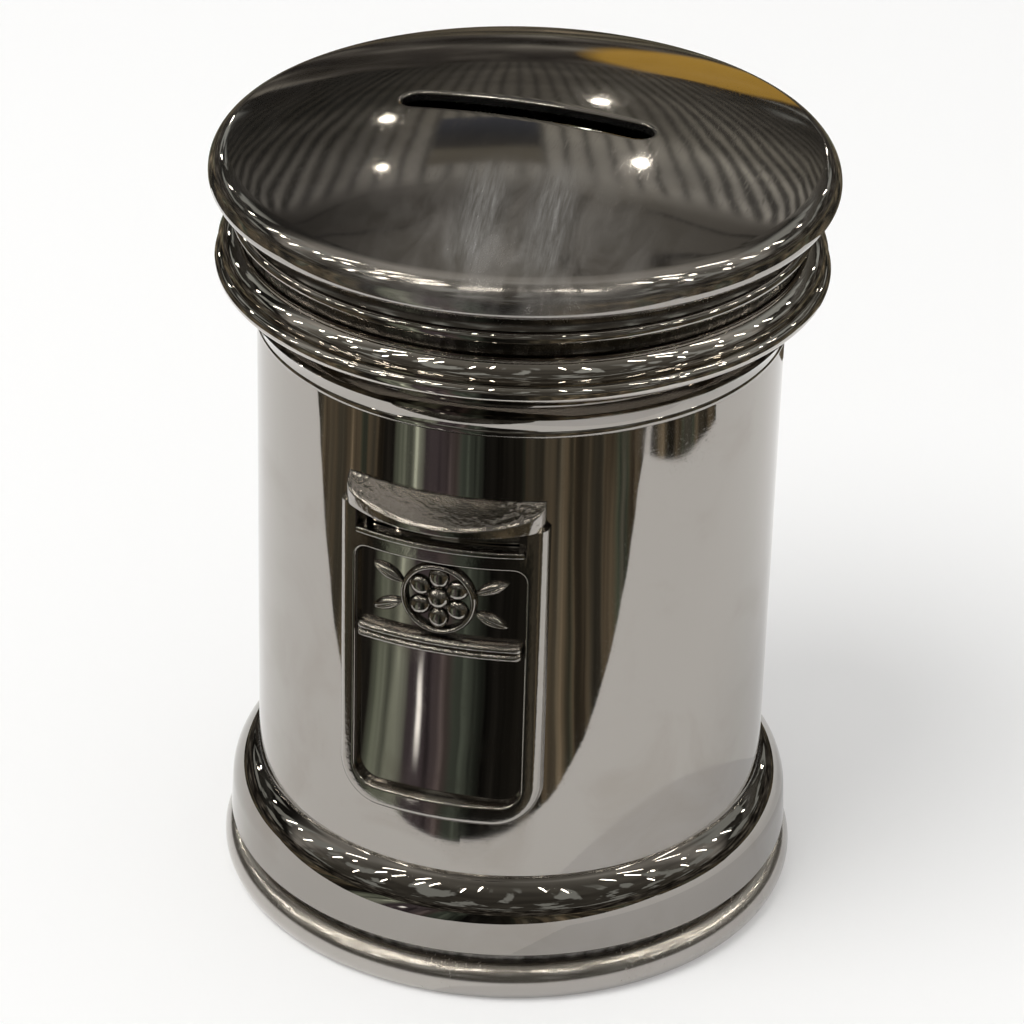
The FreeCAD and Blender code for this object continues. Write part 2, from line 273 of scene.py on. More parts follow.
def feed(tree, value, socket):  # a number, a colour or another node's output
    if isinstance(value, (int, float)):
        socket.default_value = value
    elif isinstance(value, tuple):
        socket.default_value = (*value, 1)
    else:
        tree.links.new(value, socket)


def mathNode(tree, operation, first, second=0.0, third=None, clamp=False):
    made = addNode(tree, "Math", operation=operation, use_clamp=clamp)
    feed(tree, first, made.inputs[0])
    feed(tree, second, made.inputs[1])
    if third is not None:
        feed(tree, third, made.inputs[2])
    return made.outputs[0]


def rampNode(tree, source, stops):
    ramp = addNode(tree, "ValToRGB")
    band = ramp.color_ramp
    while len(band.elements) < len(stops):
        band.elements.new(0.5)
    for element, (position, shade) in zip(band.elements, stops):
        element.position = position
        element.color = (*shade, 1) if isinstance(shade, tuple) else (shade, shade, shade, 1)
    feed(tree, source, ramp.inputs["Fac"])
    return ramp.outputs["Color"]


def mapNode(tree, source, fromMin, fromMax, toMin=0.0, toMax=1.0, smooth=False):
    made = addNode(tree, "MapRange", interpolation_type="SMOOTHSTEP" if smooth else "LINEAR")
    labels = ("Value", "From Min", "From Max", "To Min", "To Max")
    for label, value in zip(labels, (source, fromMin, fromMax, toMin, toMax)):
        feed(tree, value, made.inputs[label])
    return made.outputs[0]


def mixColour(tree, share, first, second, blend="MIX"):
    made = addNode(tree, "Mix", data_type="RGBA", blend_type=blend)
    for number, value in zip((0, 6, 7), (share, first, second)):
        feed(tree, value, made.inputs[number])
    return made.outputs[2]


def multiplied(tree, first, second):
    return mixColour(tree, 1.0, first, second, "MULTIPLY")


def noiseNode(tree, place, scale, detail, roughness=0.5, distortion=0.0):
    made = addNode(tree, "TexNoise", {"Scale": scale, "Detail": detail, "Roughness": roughness,
                                      "Distortion": distortion})
    feed(tree, place, made.inputs["Vector"])
    return made.outputs["Fac"]


def turnPlace(tree, place, rotation=(0, 0, 0), scale=(1, 1, 1)):
    made = addNode(tree, "Mapping", {"Rotation": rotation, "Scale": scale})
    feed(tree, place, made.inputs["Vector"])
    return made.outputs[0]


def splitPlace(tree, place):
    parts = addNode(tree, "SeparateXYZ")
    feed(tree, place, parts.inputs[0])
    return parts.outputs[0], parts.outputs[1], parts.outputs[2]


def flatPlace(tree, first, second):  # two values as a place on a flat sheet
    made = addNode(tree, "CombineXYZ")
    feed(tree, first, made.inputs[0])
    feed(tree, second, made.inputs[1])
    return made.outputs[0]


def vectorNode(tree, operation, place, output, values=None):
    made = addNode(tree, "VectorMath", values, operation=operation)
    feed(tree, place, made.inputs[0])
    return made.outputs[output]


def streakNoise(tree, bearing, crowding, reach, stretch, detail, scale=1.0, distortion=0.0):  # along the bearings
    sheet = flatPlace(tree, mathNode(tree, "MULTIPLY", bearing, crowding), mathNode(tree, "MULTIPLY", reach, stretch))
    return noiseNode(tree, sheet, scale, detail, distortion=distortion)


def emptyMaterial(name):
    material = bpy.data.materials.new(name)
    material.use_nodes = True
    material.node_tree.nodes.clear()
    return material, material.node_tree


def setSurface(tree, shader):
    feed(tree, shader.outputs[0], addNode(tree, "OutputMaterial").inputs["Surface"])


# stage: a pale floor, white surroundings, and what stands round the floor, which only the metal sees

stage = {
    "floorColour": (0.82, 0.815, 0.805), "floorGlow": 0.2, "worldShade": 0.62, "topLampPower": 14.0,
    "tableFront": -64.5, "tableBack": 150.0, "tableLeft": -185.0, "tableRight": 190.0, "standSide": 157.0,
    "frontSlant": 108.0, "leftSlant": 570.0, "groundReach": 6500.0, "groundRise": 0.2,
    "roomRadius": 6000.0, "roomHeight": 1200.0,
    "shadeCentre": (28.0, -8.0, 0.15), "shadeRadius": 39.5, "shadeTone": (0.86, 0.86, 0.87, 1),
}


def seenDirectly(tree):  # camera, mirror and glass rays, which all see the same white surroundings
    path = addNode(tree, "LightPath")
    either = mathNode(tree, "ADD", path.outputs["Is Camera Ray"], path.outputs["Is Glossy Ray"], clamp=True)
    return mathNode(tree, "ADD", either, path.outputs["Is Transmission Ray"], clamp=True)


def makeWorld():
    world = bpy.data.worlds.new("whiteStudio")
    bpy.context.scene.world = world
    world.use_nodes = True
    tree = world.node_tree
    background = next(item for item in tree.nodes if item.type == "BACKGROUND")
    background.inputs["Color"].default_value = (1, 1, 1, 1)
    feed(tree, mapNode(tree, seenDirectly(tree), 0.0, 1.0, stage["worldShade"], 1.0), background.inputs["Strength"])


def makeFloor():
    deselectAll()
    bpy.ops.mesh.primitive_plane_add(size=12)
    floor = namePiece("floor")
    material, tree = emptyMaterial("paleFloor")
    paint = addNode(tree, "BsdfDiffuse", {"Color": (*stage["floorColour"], 1)})
    glow = addNode(tree, "Emission", {"Color": (1, 1, 1, 1)})
    feed(tree, mathNode(tree, "MULTIPLY", seenDirectly(tree), stage["floorGlow"]), glow.inputs["Strength"])
    lit = addNode(tree, "AddShader")
    feed(tree, paint.outputs[0], lit.inputs[0])
    feed(tree, glow.outputs[0], lit.inputs[1])
    sides = addNode(tree, "MixShader")
    feed(tree, addNode(tree, "NewGeometry").outputs["Backfacing"], sides.inputs[0])
    feed(tree, lit.outputs[0], sides.inputs[1])
    feed(tree, addNode(tree, "BsdfTransparent").outputs[0], sides.inputs[2])  # clear from below
    setSurface(tree, sides)
    floor.data.materials.append(material)


def onlyInMirrors(piece):
    piece.visible_camera = False
    piece.visible_diffuse = False
    piece.visible_shadow = False
    piece.visible_transmission = False
    piece.visible_volume_scatter = False


def glowMaterial(name):
    material, tree = emptyMaterial(name)
    glow = addNode(tree, "Emission", {"Strength": 1.0})
    setSurface(tree, glow)
    return material, tree, glow


def wellMaterial():  # dim upright shapes round the table, as streaks that point at the axis
    material, tree, glow = glowMaterial("dimGround")
    place = addNode(tree, "TexCoord").outputs["Object"]
    x, y, z = splitPlace(tree, place)
    bearing = mathNode(tree, "ARCTAN2", x, mathNode(tree, "MULTIPLY", y, -1.0))
    reach = vectorNode(tree, "LENGTH", place, "Value")
    wide = streakNoise(tree, bearing, 5.5, reach, 1.1, 2.0, 1.0, 0.3)
    fine = streakNoise(tree, bearing, 5.5, reach, 1.1, 3.0, 2.6, 0.5)
    broad = rampNode(tree, wide, [
        (0.36, (0.022, 0.021, 0.017)), (0.46, (0.095, 0.083, 0.06)), (0.55, (0.2, 0.157, 0.104)),
        (0.63, (0.115, 0.14, 0.1)), (0.74, (0.40, 0.36, 0.29))])
    sweep = mapNode(tree, bearing, -0.873, 0.436)  # 50 degrees left to 25 right
    front = rampNode(tree, sweep, [
        (0.215, (0.02, 0.018, 0.015)), (0.25, (0.3, 0.33, 0.25)), (0.365, (0.4, 0.42, 0.34)),
        (0.395, (0.08, 0.066, 0.07)), (0.47, (0.13, 0.105, 0.115)), (0.56, (0.09, 0.072, 0.066)),
        (0.59, (0.07, 0.083, 0.066)), (0.68, (0.09, 0.104, 0.083)), (0.71, (0.017, 0.016, 0.014)),
        (0.88, (0.022, 0.02, 0.016))])
    ahead = rampNode(tree, sweep, [(0.1, 0.0), (0.16, 1.0), (0.9, 1.0), (0.97, 0.0)])
    thin = rampNode(tree, fine, [(0.38, 0.35), (0.5, 0.85), (0.6, 1.1), (0.7, 2.4)])
    streaked = multiplied(tree, mixColour(tree, ahead, broad, front), thin)
    slit = rampNode(tree, sweep, [(0.43, 0.0), (0.44, 1.0), (0.45, 1.0), (0.461, 0.0)])
    lit = rampNode(tree, reach, [(0.08, 0.0), (0.09, 1.0), (0.1, 1.0), (0.112, 0.0)])
    gap = mathNode(tree, "MULTIPLY", slit, lit)  # one bright gap between the dim shapes
    feed(tree, mixColour(tree, gap, streaked, (2.4, 2.35, 2.25)), glow.inputs["Color"])
    return material


def makeGround():  # the dark ground beyond the table's edges
    front, back, left, right = (stage["table" + edge] for edge in ("Front", "Back", "Left", "Right"))
    stand, far, slant = stage["standSide"], stage["groundReach"], stage["frontSlant"]
    finish = wellMaterial()
    for name, corners in (
            ("groundInFront", [(-far, -far), (far, -far), (far, front - slant), (-far, front + slant)]),
            ("groundAtFrontLeft", [(-far, front), (0, front), (0, front + 1), (-far, front + stage["leftSlant"])]),
            ("groundBehind", [(-far, back), (far, back), (far, far), (-far, far)]),
            ("groundAtLeft", [(-far, front + slant), (left, front + 3), (left, back), (-far, back)]),
            ("groundAtRight", [(right, front - 3), (far, front - slant), (far, back), (right, back)]),
            ("standAtRight", [(stand, -60), (right, -60), (right, 40), (stand + 6, 36)])):
        deselectAll()
        bpy.ops.mesh.primitive_plane_add(size=1)
        piece = namePiece(name)
        bpy.ops.object.mode_set(mode="EDIT")
        placeRing(piece, (0, 1, 3, 2), [(x, y, stage["groundRise"]) for x, y in corners])
        leaveEdit()
        piece.data.materials.append(finish)
        onlyInMirrors(piece)


def ceilingMaterial():  # long boards that run away from the camera, lightest over the middle
    material, tree, glow = glowMaterial("boardedCeiling")
    place = addNode(tree, "TexCoord").outputs["Object"]
    turned = turnPlace(tree, place, (0, 0, math.radians(-16)))
    across, along, height = splitPlace(tree, turned)
    aside = mathNode(tree, "ABSOLUTE", across)
    depth = mapNode(tree, along, -1.5, 6.0)
    tone = rampNode(tree, depth, [
        (0.0, (0.075, 0.069, 0.058)), (0.08, (0.125, 0.117, 0.1)), (0.133, (0.165, 0.156, 0.136)),
        (0.167, (0.21, 0.2, 0.178)), (0.193, (0.41, 0.395, 0.365)), (0.24, (0.41, 0.39, 0.356)),
        (0.293, (0.17, 0.16, 0.14)), (0.36, (0.15, 0.14, 0.122)), (0.384, (0.37, 0.355, 0.325)),
        (0.44, (0.33, 0.315, 0.28)), (0.493, (0.24, 0.225, 0.19)), (0.6, (0.13, 0.12, 0.1)),
        (1.0, (0.08, 0.073, 0.06))])
    fade = rampNode(tree, mapNode(tree, across, -1.0, 1.0), [
        (0.0, 0.12), (0.22, 0.2), (0.31, 0.38), (0.38, 0.68), (0.46, 0.95), (0.64, 1.0), (0.76, 0.75),
        (0.88, 0.5), (1.0, 0.3)])
    faded = multiplied(tree, tone, mixColour(tree, mapNode(tree, along, 0.2, 0.7), white, fade))
    boards = addNode(tree, "TexWave", {"Scale": 6.2, "Distortion": 0.5, "Detail": 1.0, "Detail Scale": 1.2})
    feed(tree, turned, boards.inputs["Vector"])
    stripe = rampNode(tree, boards.outputs["Fac"], [(0.06, 0.4), (0.32, 0.95), (0.85, 1.12)])
    bold = rampNode(tree, boards.outputs["Fac"], [(0.3, 0.25), (0.55, 1.2), (0.85, 2.4)])
    boarded = mixColour(tree, mapNode(tree, aside, 0.36, 0.55), stripe, bold)
    away = mapNode(tree, along, 1.26, 1.36)
    planked = multiplied(tree, faded, mixColour(tree, away, white, boarded))
    off = mathNode(tree, "ABSOLUTE", mathNode(tree, "ADD", across, 0.075))
    far = mathNode(tree, "ABSOLUTE", mathNode(tree, "SUBTRACT", along, 1.84))
    outside = mathNode(tree, "MAXIMUM", mathNode(tree, "DIVIDE", off, 0.125), mathNode(tree, "DIVIDE", far, 0.36))
    panes = rampNode(tree, depth, [
        (0.396, (0.15, 0.135, 0.11)), (0.42, (0.17, 0.155, 0.12)), (0.429, (0.06, 0.056, 0.05)),
        (0.456, (0.035, 0.037, 0.042)), (0.492, (0.05, 0.055, 0.07))])
    hatch = mapNode(tree, outside, 0.93, 1.03, 1.0, 0.0)
    opened = mixColour(tree, hatch, planked, panes)  # a dark opening between the boards
    clouds = noiseNode(tree, place, 1.7, 1.0)
    patch = rampNode(tree, clouds, [(0.36, 0.75), (0.64, 1.15)])
    ridge = mathNode(tree, "ABSOLUTE", mathNode(tree, "SUBTRACT", clouds, 0.5))
    plain = mathNode(tree, "MAXIMUM", away, mapNode(tree, along, 0.75, 0.55))
    edged = mixColour(tree, plain, mapNode(tree, ridge, 0.005, 0.016, 0.3), white)  # dark outlines nearer by
    marked = multiplied(tree, multiplied(tree, opened, patch), edged)
    bearing = mathNode(tree, "ARCTAN2", across, mathNode(tree, "MULTIPLY", along, -1.0))
    bars = streakNoise(tree, bearing, 4.5, vectorNode(tree, "LENGTH", place, "Value"), 0.8, 3.0)
    pale = rampNode(tree, bars, [(0.53, 0.0), (0.57, 1.0)])
    outer = mathNode(tree, "MAXIMUM", mapNode(tree, along, -0.6, -0.9), mapNode(tree, aside, 0.95, 1.2))
    windows = mathNode(tree, "MULTIPLY", outer, pale)  # pale openings that only the mouldings show
    feed(tree, mixColour(tree, windows, marked, (0.4, 0.41, 0.385)), glow.inputs["Color"])
    return material


def wallMaterial():  # dark shelves and uprights, with one warm lit panel behind
    material, tree, glow = glowMaterial("dimWalls")
    place = addNode(tree, "TexCoord").outputs["Object"]
    x, y, z = splitPlace(tree, place)
    shapes = streakNoise(tree, mathNode(tree, "ARCTAN2", x, y), 9.0, z, 3.0, 3.0)
    tone = rampNode(tree, shapes, [
        (0.38, (0.014, 0.012, 0.01)), (0.5, (0.05, 0.044, 0.036)), (0.6, (0.11, 0.10, 0.085)),
        (0.7, (0.26, 0.24, 0.2))])
    off = vectorNode(tree, "DISTANCE", place, "Value", {1: (-0.84, 5.94, 0.7)})
    lit = mapNode(tree, off, 0.48, 0.6, 0.85, 0.0)
    feed(tree, mixColour(tree, lit, tone, (0.62, 0.36, 0.06)), glow.inputs["Color"])
    return material


def makeRoom():
    radius, height = stage["roomRadius"] * mm, stage["roomHeight"] * mm
    deselectAll()
    bpy.ops.mesh.primitive_cylinder_add(vertices=96, radius=radius, depth=height, location=(0, 0, height / 2))
    room = namePiece("room")
    bpy.ops.object.transform_apply(location=True)
    bpy.ops.object.mode_set(mode="EDIT")
    mesh = bmesh.from_edit_mesh(room.data)
    for face in mesh.faces:
        face.select_set(face.normal.z < -0.5)
        face.material_index = 1 if face.normal.z > 0.5 else 0
    bpy.ops.mesh.delete(type="FACE")  # the room has no floor of its own
    leaveEdit()
    room.data.materials.append(wallMaterial())
    room.data.materials.append(ceilingMaterial())
    onlyInMirrors(room)


spots = {  # small lamps by rise and bearing, in degrees
    "height": 1150.0, "base": 100.0, "colour": (1.0, 0.95, 0.86), "glow": {"roundGlow": 60.0, "tallGlow": 32.0},
    "dome": [(25.1, -155.6, 0.3), (20.9, -168.6, 0.38), (33.8, -173.3, 0.38), (35.2, -152.9, 0.25)],
    "tall": [(48, -20.5), (55, -13), (55, 20.5), (48, 29), (50, -36), (45, -41), (55, -46), (48, -54), (43, -60),
             (56, -66), (50, -84), (53, 56), (48, 66), (56, 76), (51, 96), (31, -52), (27, -64), (33, -77),
             (28, -92), (30, -106), (30, 63), (27, 79), (32, 93), (28, 107)],
    "side": [(36, -86), (30, -101), (25, -119), (20, -136), (15, -151), (12, -163), (40, -74), (35, 86), (29, 102),
             (24, 121), (17, 142), (13, 159), (41, 72)],
}


def spotPlace(rise, bearing):  # as seen from the middle of the dome
    tilt, turn = math.radians(rise), math.radians(bearing)
    height = spots["height"] - spots["base"]
    along = Vector((math.sin(turn), -math.cos(turn), math.tan(tilt))) * height / math.tan(tilt)
    return (along + Vector((0, 0, spots["base"]))) * mm


def makeSpots():  # round ones that the dome shows, tall ones for the mouldings
    finishes = {}
    for name, strength in spots["glow"].items():
        finishes[name], tree, glow = glowMaterial(name)
        glow.inputs["Strength"].default_value = strength
        feed(tree, spots["colour"], glow.inputs["Color"])
    lamps = [(rise, bearing, angle, 1, "roundGlow") for rise, bearing, angle in spots["dome"]]
    for kind, angle, tall, finish in (("tall", 0.24, 28, "tallGlow"), ("side", 0.35, 4, "roundGlow")):
        lamps += [(rise, bearing + shot["turn"], angle, tall, finish) for rise, bearing in spots[kind]]
    for number, (rise, bearing, angle, tall, finish) in enumerate(lamps):
        deselectAll()
        place = spotPlace(rise, bearing)
        size = place.length * math.tan(math.radians(angle))
        bpy.ops.mesh.primitive_uv_sphere_add(segments=24, ring_count=12, radius=size)
        spot = namePiece("spot" + str(number + 1))
        spot.scale = (1, tall, 1)  # the long way lies along the rise
        spot.location = place
        spot.rotation_euler = (-place).to_track_quat("-Z", "Y").to_euler()
        spot.data.materials.append(finishes[finish])
        onlyInMirrors(spot)


def makeTableShade():  # the cap's shadow on the table, as the right of the body mirrors it
    deselectAll()
    bpy.ops.mesh.primitive_circle_add(vertices=96, radius=stage["shadeRadius"] * mm, fill_type="NGON")
    piece = namePiece("tableShade")
    editAll()
    bpy.ops.transform.translate(value=Vector(stage["shadeCentre"]) * mm)
    leaveEdit()
    material, tree = emptyMaterial("thinShade")
    setSurface(tree, addNode(tree, "BsdfTransparent", {"Color": stage["shadeTone"]}))
    piece.data.materials.append(material)
    onlyInMirrors(piece)


def makeLamp():
    deselectAll()
    bpy.ops.object.light_add(type="AREA", location=(-0.5, -0.7, 1.5))
    lamp = bpy.context.object
    lamp.name = "softLamp"
    lamp.data.shape = "DISK"
    lamp.data.size = 1.0
    lamp.data.energy = stage["topLampPower"]
    lamp.rotation_euler = Vector((0.5, 0.7, -1.45)).to_track_quat("-Z", "Y").to_euler()
    lamp.visible_glossy = False


makeWorld()
makeFloor()
makeGround()
makeRoom()
makeSpots()
makeTableShade()
makeLamp()
print("stage set")


# shared effects, as node groups on places in millimetres

def newGroup(name, inputs, outputs):
    group = bpy.data.node_groups.new(name, "ShaderNodeTree")
    for label, kind, value in [("Place", "Vector", None)] + inputs:
        socket = group.interface.new_socket(name=label, in_out="INPUT", socket_type="NodeSocket" + kind)
        if value is not None:
            socket.default_value = value
    for label in outputs:
        group.interface.new_socket(name=label, in_out="OUTPUT", socket_type="NodeSocketFloat")
    start = group.nodes.new("NodeGroupInput")
    end = group.nodes.new("NodeGroupOutput")
    return group, start.outputs, end.inputs


def axisReach(tree, place):  # the distance from the axis
    flat = vectorNode(tree, "MULTIPLY", place, "Vector", {1: (1, 1, 0)})
    return vectorNode(tree, "LENGTH", flat, "Value")


def makeTurningMarks():  # fine rings left by the lathe and the buffing wheel
    group, given, result = newGroup("turningMarks", [("Spacing", "Float", 0.4)], ["Lines"])
    x, y, z = splitPlace(group, given["Place"])
    across = mathNode(group, "DIVIDE", axisReach(group, given["Place"]), given["Spacing"])
    sheet = flatPlace(group, across, mathNode(group, "DIVIDE", z, given["Spacing"]))
    feed(group, noiseNode(group, sheet, 1.0, 3.0, 0.6), result["Lines"])
    return group


def makeHandlingMarks():  # smears of haze and stray hairlines
    group, given, result = newGroup("handlingMarks", [("Size", "Float", 14.0)], ["Haze", "Hairlines"])
    scaled = addNode(group, "VectorMath", operation="DIVIDE")
    feed(group, given["Place"], scaled.inputs[0])
    feed(group, given["Size"], scaled.inputs[1])
    place = scaled.outputs[0]
    smear = noiseNode(group, place, 1.0, 5.0, 0.55, 0.8)
    feed(group, mapNode(group, smear, 0.48, 0.72, smooth=True), result["Haze"])
    marks = []
    for angles in ((0.5, 0.2, 0.9), (1.3, 0.7, 2.1), (0.1, 1.1, 3.0)):
        thread = noiseNode(group, turnPlace(group, place, angles, (34.0, 0.5, 34.0)), 2.0, 0.0)
        marks.append(mapNode(group, thread, 0.72, 0.80))
    both = mathNode(group, "MAXIMUM", marks[0], marks[1])
    feed(group, mathNode(group, "MAXIMUM", both, marks[2]), result["Hairlines"])
    return group


def makeGrooveShadeAndPatina():  # dark in the grooves and joints between parts, by the distance from the axis: partly patina, partly painted shade
    group, given, result = newGroup("grooveShadeAndPatina", [("Groove", "Float", 33.0), ("Crest", "Float", 34.0)], ["Recess"])
    reach = axisReach(group, given["Place"])
    fall = mapNode(group, reach, given["Groove"], given["Crest"], 1.0, 0.0, True)
    broken = mapNode(group, noiseNode(group, given["Place"], 0.6, 4.0), 0.3, 0.6, 0.55)
    feed(group, mathNode(group, "MULTIPLY", fall, broken), result["Recess"])
    return group


turningMarks = makeTurningMarks()
handlingMarks = makeHandlingMarks()
grooveShadeAndPatina = makeGrooveShadeAndPatina()


def placeGroup(tree, group, place, **values):
    made = tree.nodes.new("ShaderNodeGroup")
    made.node_tree = group
    feed(tree, place, made.inputs["Place"])
    for key, value in values.items():
        made.inputs[key.capitalize()].default_value = value
    return made.outputs


def startMaterial(name):
    material = bpy.data.materials.new(name)
    material.use_nodes = True
    tree = material.node_tree
    shader = next(item for item in tree.nodes if item.type == "BSDF_PRINCIPLED")
    coords = addNode(tree, "TexCoord")
    place = turnPlace(tree, coords.outputs["Object"], scale=(1000, 1000, 1000))  # metres to millimetres
    return material, tree, shader.inputs, place


def bumpNode(tree, shader, height, strength, distance, before=None):
    bump = addNode(tree, "Bump", {"Strength": strength, "Distance": distance * mm})
    feed(tree, height, bump.inputs["Height"])
    if before:
        feed(tree, before, bump.inputs["Normal"])
    feed(tree, bump.outputs[0], shader["Normal"])
    return bump.outputs[0]


# finishes

# dark and castDark darken the grooves and joints, partly patina and partly painted shade; rubbed is the pale colour
# of the cap's painted highlight streaks
polish = {
    "light": (0.383, 0.361, 0.334), "warm": (0.352, 0.327, 0.297), "dark": (0.05, 0.045, 0.039),
    "cast": (0.36, 0.34, 0.313), "castDark": (0.035, 0.031, 0.027), "rubbed": (0.62, 0.61, 0.6),
}


def polishedPewter(name, groove, crest, hazeSize=16.0, gloss=0.04, haze=0.05, lines=0.5, wave=0.048, film=0.0,
                   tone=1.0):
    material, tree, shader, place = startMaterial(name)
    # tone makes lighter or darker copies of the same pewter: painted light and shade
    light, warm = (tuple(share * tone for share in polish[key]) for key in ("light", "warm"))
    shader["Metallic"].default_value = 1.0
    shader["Coat Weight"].default_value = film  # a thin polished film over satin metal
    shader["Coat Roughness"].default_value = 0.06
    rings = placeGroup(tree, turningMarks, place, spacing=0.45)
    marks = placeGroup(tree, handlingMarks, place, size=hazeSize)
    recess = placeGroup(tree, grooveShadeAndPatina, place, groove=groove, crest=crest)["Recess"]
    tint = mixColour(tree, marks["Haze"], light, warm)
    # grooves and joints darkened: partly patina, partly painted shade
    feed(tree, mixColour(tree, recess, tint, polish["dark"]), shader["Base Color"])
    dull = mathNode(tree, "MULTIPLY_ADD", marks["Haze"], haze, gloss)
    scratched = mathNode(tree, "MULTIPLY_ADD", marks["Hairlines"], 0.05, dull)
    feed(tree, mathNode(tree, "MULTIPLY_ADD", recess, 0.25, scratched), shader["Roughness"])
    swell = bumpNode(tree, shader, noiseNode(tree, place, 0.09, 1.0), 1.0, wave)
    bumpNode(tree, shader, rings["Lines"], lines, 0.0016, swell)
    return material


def capPewter():  # the dome, with rubbed haze towards its front and slow ripples from spinning
    material, tree, shader, place = startMaterial("capPewter")
    rings = placeGroup(tree, turningMarks, place, spacing=0.5)
    marks = placeGroup(tree, handlingMarks, place, size=11.0)
    rubbed = vectorNode(tree, "DISTANCE", place, "Value", {1: (8.5, -33.0, 102.0)})
    near = mapNode(tree, rubbed, 3.0, 26.0, 1.0, 0.06, True)
    smears = turnPlace(tree, place, (0, 0, 0.5), (0.16, 0.05, 0.15))
    wiped = rampNode(tree, noiseNode(tree, smears, 1.6, 5.0, 0.6, 0.6), [(0.36, 0.15), (0.66, 1.0)])
    turned = turnPlace(tree, place, (0, 0, -0.151))  # two wiped streaks that run down to the rim, painted in a paler colour as highlight streaks
    x, y, z = splitPlace(tree, turned)
    bands = []
    for middle in (-2.1, 6.2):
        off = mathNode(tree, "ABSOLUTE", mathNode(tree, "SUBTRACT", x, middle))
        bands.append(mapNode(tree, off, 0.4, 4.4, 1.0, 0.0, True))
    run = rampNode(tree, mathNode(tree, "DIVIDE", y, -40.0), [(0.3, 0.0), (0.5, 1.0), (0.82, 1.0), (0.92, 0.2)])
    threads = noiseNode(tree, turnPlace(tree, turned, scale=(1.5, 0.11, 0.11)), 1.0, 6.0, 0.7, 0.25)
    brushed = rampNode(tree, threads, [(0.32, 0.2), (0.68, 1.0)])
    both = mathNode(tree, "MULTIPLY", mathNode(tree, "MAXIMUM", bands[0], bands[1]), run)
    wipeAndPaintedSheen = mathNode(tree, "MULTIPLY", both, brushed)
    scuff = mathNode(tree, "MAXIMUM", mathNode(tree, "MULTIPLY", near, wiped), wipeAndPaintedSheen)
    tint = mixColour(tree, marks["Haze"], polish["light"], polish["warm"])
    # the streaks take the pale rubbed colour: painted highlight streaks over real wiping
    feed(tree, mixColour(tree, wipeAndPaintedSheen, tint, polish["rubbed"]), shader["Base Color"])
    dusty = mathNode(tree, "MULTIPLY_ADD", scuff, -0.22, 0.985)  # the rubbed skin scatters a little light
    feed(tree, dusty, shader["Metallic"])
    dull = mathNode(tree, "MULTIPLY_ADD", scuff, 0.22, 0.045)
    feed(tree, mathNode(tree, "MULTIPLY_ADD", marks["Hairlines"], 0.06, dull), shader["Roughness"])
    swell = bumpNode(tree, shader, noiseNode(tree, place, 0.07, 1.0), 1.0, 0.06)
    bumpNode(tree, shader, rings["Lines"], 0.5, 0.0012, swell)
    return material


def castPewter(name, lump, grain, shiny, groove, crest):  # soft lumps, fine grain, and darkened grooves: partly patina, partly painted shade
    material, tree, shader, place = startMaterial(name)
    shader["Metallic"].default_value = 1.0
    marks = placeGroup(tree, handlingMarks, place, size=6.0)
    recess = placeGroup(tree, grooveShadeAndPatina, place, groove=groove, crest=crest)["Recess"]
    tint = mixColour(tree, marks["Haze"], polish["cast"], polish["warm"])
    # grooves and joints darkened: partly patina, partly painted shade
    feed(tree, mixColour(tree, recess, tint, polish["castDark"]), shader["Base Color"])
    skin = noiseNode(tree, place, 1.5, 3.0, 0.55)
    pits = noiseNode(tree, place, 6.5, 4.0, 0.65)
    feed(tree, mapNode(tree, pits, 0.35, 0.7, shiny, shiny + 0.1), shader["Roughness"])
    soft = bumpNode(tree, shader, skin, 1.0, lump)
    bumpNode(tree, shader, pits, 1.0, grain, soft)
    return material


def bungRubber():
    material, tree, shader, place = startMaterial("bungRubber")
    mould = noiseNode(tree, place, 3.0, 6.0, 0.7)
    dust = noiseNode(tree, place, 0.25, 4.0)
    bloom = rampNode(tree, dust, [(0.4, (0.012, 0.012, 0.013)), (0.75, (0.045, 0.043, 0.04))])
    feed(tree, bloom, shader["Base Color"])
    feed(tree, mapNode(tree, mould, 0.0, 1.0, 0.5, 0.78), shader["Roughness"])
    bumpNode(tree, shader, mould, 0.6, 0.05)
    return material


print("finishes ready")


# turned pieces

footRing = {"beadCentre": (34.75, 2.3), "beadRound": 2.8, "groove": 35.2, "top": 6.5, "seat": 34.2, "bore": 33.4,
            "recess": 2.6, "boreEdge": 0.3}


def makeFootRing():
    data = footRing
    centre, size = data["beadCentre"], data["beadRound"]
    groove, seat, bore, edge = data["groove"], data["seat"], data["bore"], data["boreEdge"]
    floorAngle = -math.degrees(math.asin(centre[1] / size))
    grooveAngle = math.degrees(math.acos((groove - centre[0]) / size))
    outline = arcPoints(centre, size, floorAngle, grooveAngle, 40)
    outline += [(groove, data["top"]), (seat, data["top"]), (seat, data["recess"]), (bore, data["recess"]),
                (bore, edge), (bore + edge, 0.0)]
    piece = turnedPiece("footRing", outline)
    # tone 1.15 paints the foot's pewter lighter: painted light
    finish = polishedPewter("footPewter", 35.2, 35.3, gloss=0.22, haze=0.02, film=0.8, tone=1.15)
    finishPiece(piece, finish, "polished_pewter", "box", "foot_ring")


plinth = {"seat": 34.2, "bottom": 6.5, "bandFoot": 36.75, "shoulder": (36.5, 10.9), "shoulderRound": 6.5,
          "shoulderEnd": 52.0, "ledge": [(33.65, 15.9), (33.3, 16.08)], "top": 16.4, "bore": 33.0, "lip": 1.2,
          "footRound": 0.5}


